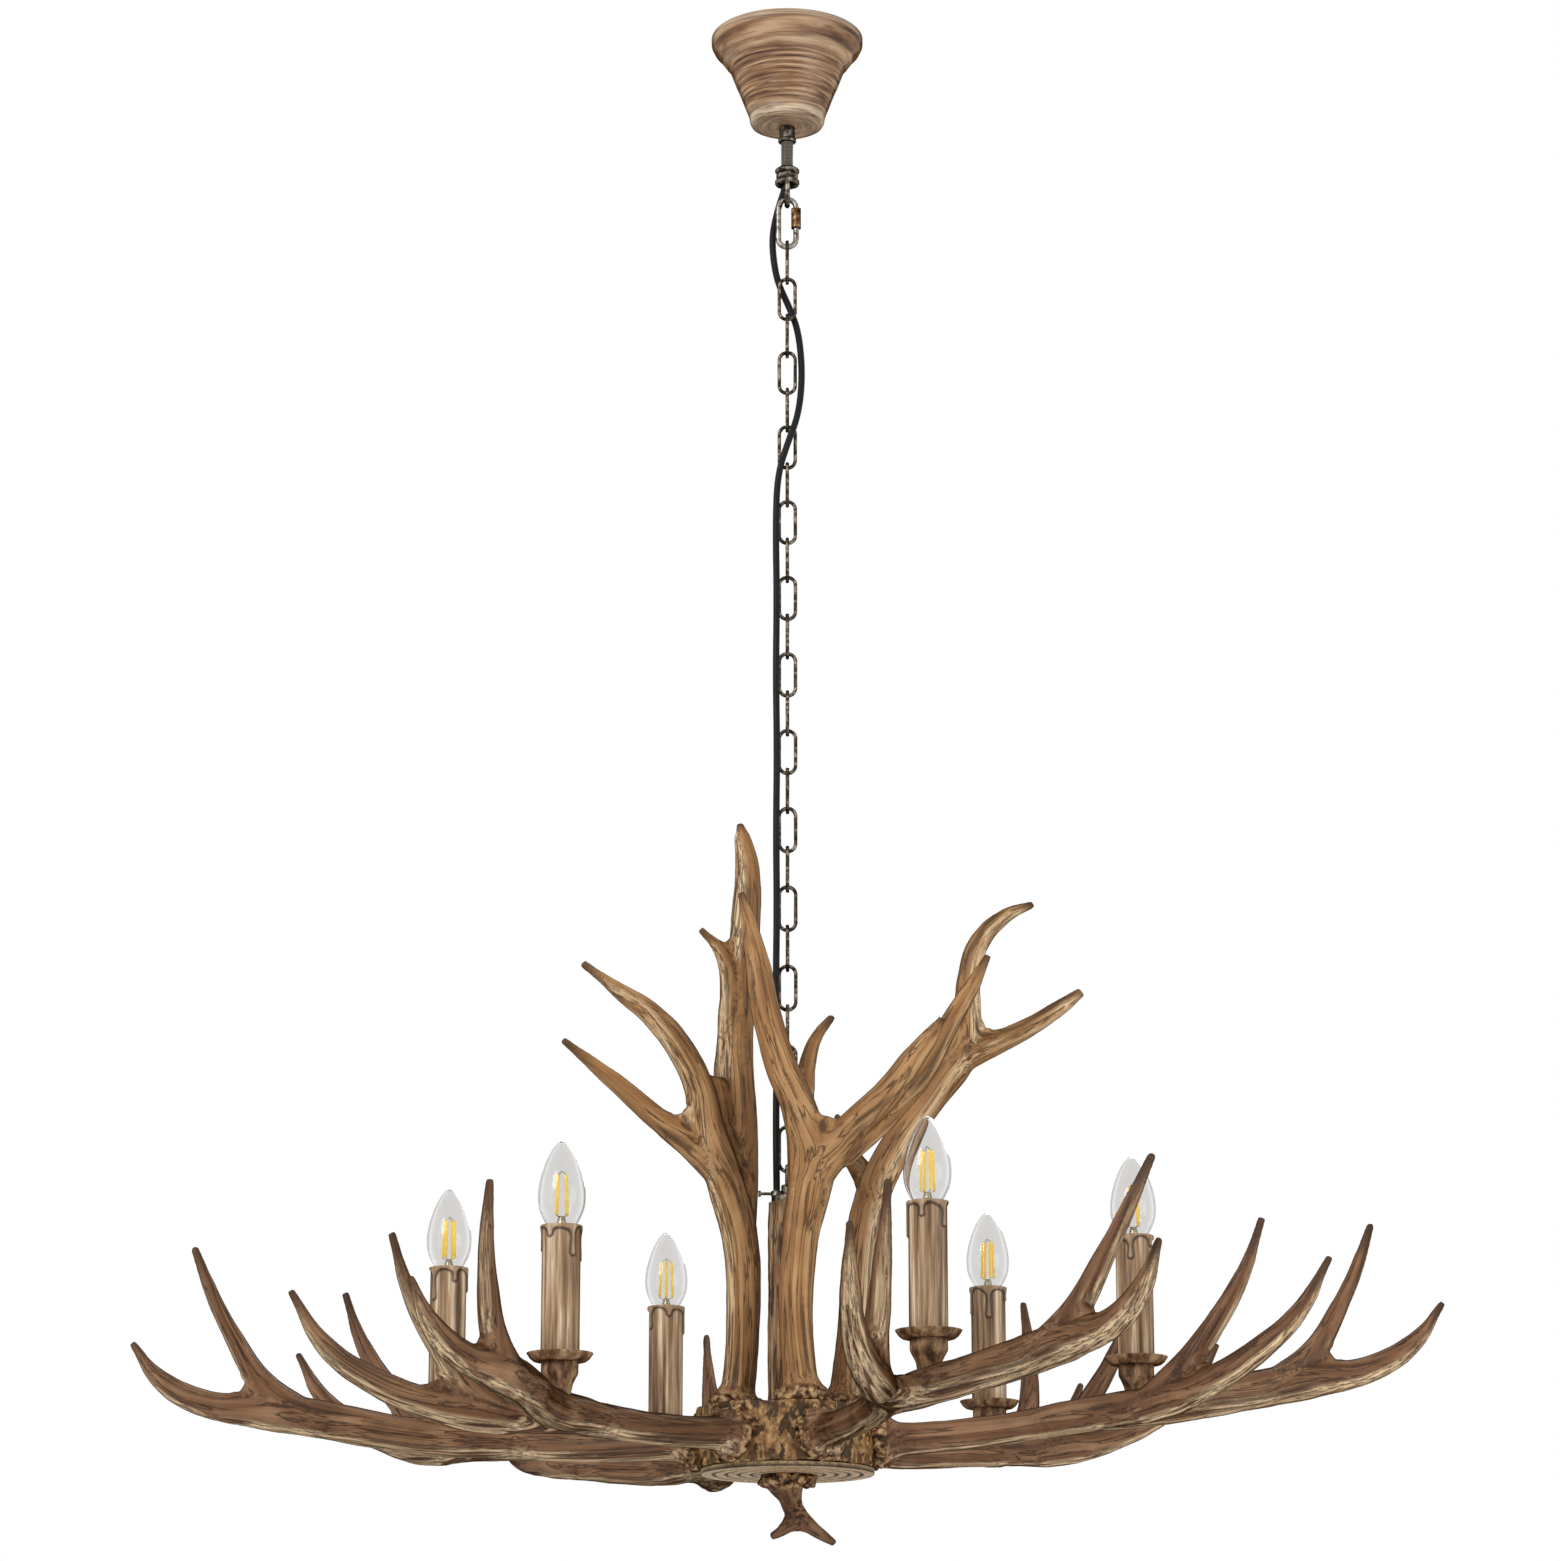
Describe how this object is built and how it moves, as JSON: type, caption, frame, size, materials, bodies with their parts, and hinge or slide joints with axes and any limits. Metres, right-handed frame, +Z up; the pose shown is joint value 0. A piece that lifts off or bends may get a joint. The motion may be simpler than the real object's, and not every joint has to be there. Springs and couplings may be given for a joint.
{
  "type": "antler chandelier",
  "caption": "Ceiling chandelier of cast antlers round a small hub, with candle-style lights on drip pans, hung on a chain with its cable from a bell canopy.",
  "frame": {"origin": "on the ceiling plane, midway between the ceiling bracket's two screw slots and on the hanging axis", "axes": "+Z up into the ceiling, +X along the line of the bracket's two screw slots, -Y the side that faces the camera in the picture"},
  "size_m": [1.0083, 0.8766, 1.2334],
  "materials": {
    "canopy_paint": "sandy brown paint with round brushed streaks",
    "bracket_steel": "plain zinc-plated steel",
    "grey_metal": "dull grey plated metal",
    "terminal_plastic": "off-white insulating plastic",
    "black_cable": "smooth black sheath",
    "bright_steel": "bright plated steel",
    "chain_bronze": "hammered antique bronze",
    "column_paint": "dark streaked brown paint",
    "bark_resin": "painted resin, blotched like burr bark",
    "disc_resin": "painted resin, pale with dark growth rings",
    "antler_resin": "painted resin, brown with dark streaks and pale ridges",
    "pan_paint": "dark brown paint",
    "candle_resin": "painted resin with upright grain and dark-edged drips",
    "holder_plastic": "dark heat-proof plastic",
    "bulb_glass": "clear glass",
    "bulb_metal": "nickel-plated cap with yellow filaments"
  },
  "bodies": {
    "ceiling": {"ceiling_bracket": "bracket_steel", "bracket_nuts": "bracket_steel", "threaded_nipple": "grey_metal", "terminal_block": "terminal_plastic", "top_yoke": "grey_metal", "cable_head": "black_cable"},
    "canopy": {"canopy_bell": "canopy_paint"},
    "collar": {"lock_collar": "grey_metal"},
    "quick_link": {"quick_link": "bright_steel", "cable_link": "black_cable"},
    "link_sleeve": {"quick_link_sleeve": "bright_steel"},
    "chain": {"chain_links_edge_on": "chain_bronze", "chain_links_face_on": "chain_bronze", "cable_main": "black_cable"},
    "bulb_1": {"bulb_glass_1": "bulb_glass", "bulb_core_1": "bulb_metal"},
    "bulb_2": {"bulb_glass_2": "bulb_glass", "bulb_core_2": "bulb_metal"},
    "bulb_3": {"bulb_glass_3": "bulb_glass", "bulb_core_3": "bulb_metal"},
    "bulb_4": {"bulb_glass_4": "bulb_glass", "bulb_core_4": "bulb_metal"},
    "bulb_5": {"bulb_glass_5": "bulb_glass", "bulb_core_5": "bulb_metal"},
    "bulb_6": {"bulb_glass_6": "bulb_glass", "bulb_core_6": "bulb_metal"},
    "lamp": {"column_head": "grey_metal", "clamp_screws": "grey_metal", "column_tube": "column_paint", "centre_pipe": "bracket_steel", "pipe_nuts": "bracket_steel", "hub_drum": "bark_resin", "hub_disc": "disc_resin", "antler_bolts": "bracket_steel", "finial_antler": "antler_resin", "upright_antler_left": "antler_resin", "upright_antler_front": "antler_resin", "upright_antler_back": "antler_resin", "candle_cups": "pan_paint", "lamp_holders": "holder_plastic", "arm_antler_1": "antler_resin", "drip_pan_1": "pan_paint", "candle_sleeve_1": "candle_resin", "arm_antler_2": "antler_resin", "drip_pan_2": "pan_paint", "candle_sleeve_2": "candle_resin", "arm_antler_3": "antler_resin", "drip_pan_3": "pan_paint", "candle_sleeve_3": "candle_resin", "arm_antler_4": "antler_resin", "drip_pan_4": "pan_paint", "candle_sleeve_4": "candle_resin", "arm_antler_5": "antler_resin", "drip_pan_5": "pan_paint", "candle_sleeve_5": "candle_resin", "arm_antler_6": "antler_resin", "drip_pan_6": "pan_paint", "candle_sleeve_6": "candle_resin"}
  },
  "joints": [
    {"name": "collar_slide", "type": "slide", "parent": "ceiling", "child": "collar", "axis": [0, 0, -1], "range_m": [0, 0.018]},
    {"name": "canopy_drop", "type": "slide", "parent": "ceiling", "child": "canopy", "axis": [0, 0, -1], "range_m": [0, 0.018]},
    {"name": "quick_link_swing", "type": "hinge", "parent": "ceiling", "child": "quick_link", "pos_m": [0, 0, -0.1465], "axis": [0, 1, 0], "range_deg": [-25, 25]},
    {"name": "sleeve_slide", "type": "slide", "parent": "quick_link", "child": "link_sleeve", "axis": [0, 0, -1], "range_m": [0, 0.009]},
    {"name": "chain_swing", "type": "hinge", "parent": "quick_link", "child": "chain", "pos_m": [0, 0, -0.18335], "axis": [1, 0, 0], "range_deg": [-25, 25]},
    {"name": "lamp_swing", "type": "hinge", "parent": "chain", "child": "lamp", "pos_m": [0, 0, -0.947], "axis": [1, 0, 0], "range_deg": [-4, 4]},
    {"name": "bulb_1_unscrew", "type": "slide", "parent": "lamp", "child": "bulb_1", "axis": [0, 0, 1], "range_m": [0, 0.022]},
    {"name": "bulb_2_unscrew", "type": "slide", "parent": "lamp", "child": "bulb_2", "axis": [0, 0, 1], "range_m": [0, 0.022]},
    {"name": "bulb_3_unscrew", "type": "slide", "parent": "lamp", "child": "bulb_3", "axis": [0, 0, 1], "range_m": [0, 0.022]},
    {"name": "bulb_4_unscrew", "type": "slide", "parent": "lamp", "child": "bulb_4", "axis": [0, 0, 1], "range_m": [0, 0.022]},
    {"name": "bulb_5_unscrew", "type": "slide", "parent": "lamp", "child": "bulb_5", "axis": [0, 0, 1], "range_m": [0, 0.022]},
    {"name": "bulb_6_unscrew", "type": "slide", "parent": "lamp", "child": "bulb_6", "axis": [0, 0, 1], "range_m": [0, 0.022]}
  ],
  "couplings": [
    {"joint": "canopy_drop", "follows": "collar_slide", "ratio": 1}
  ]
}
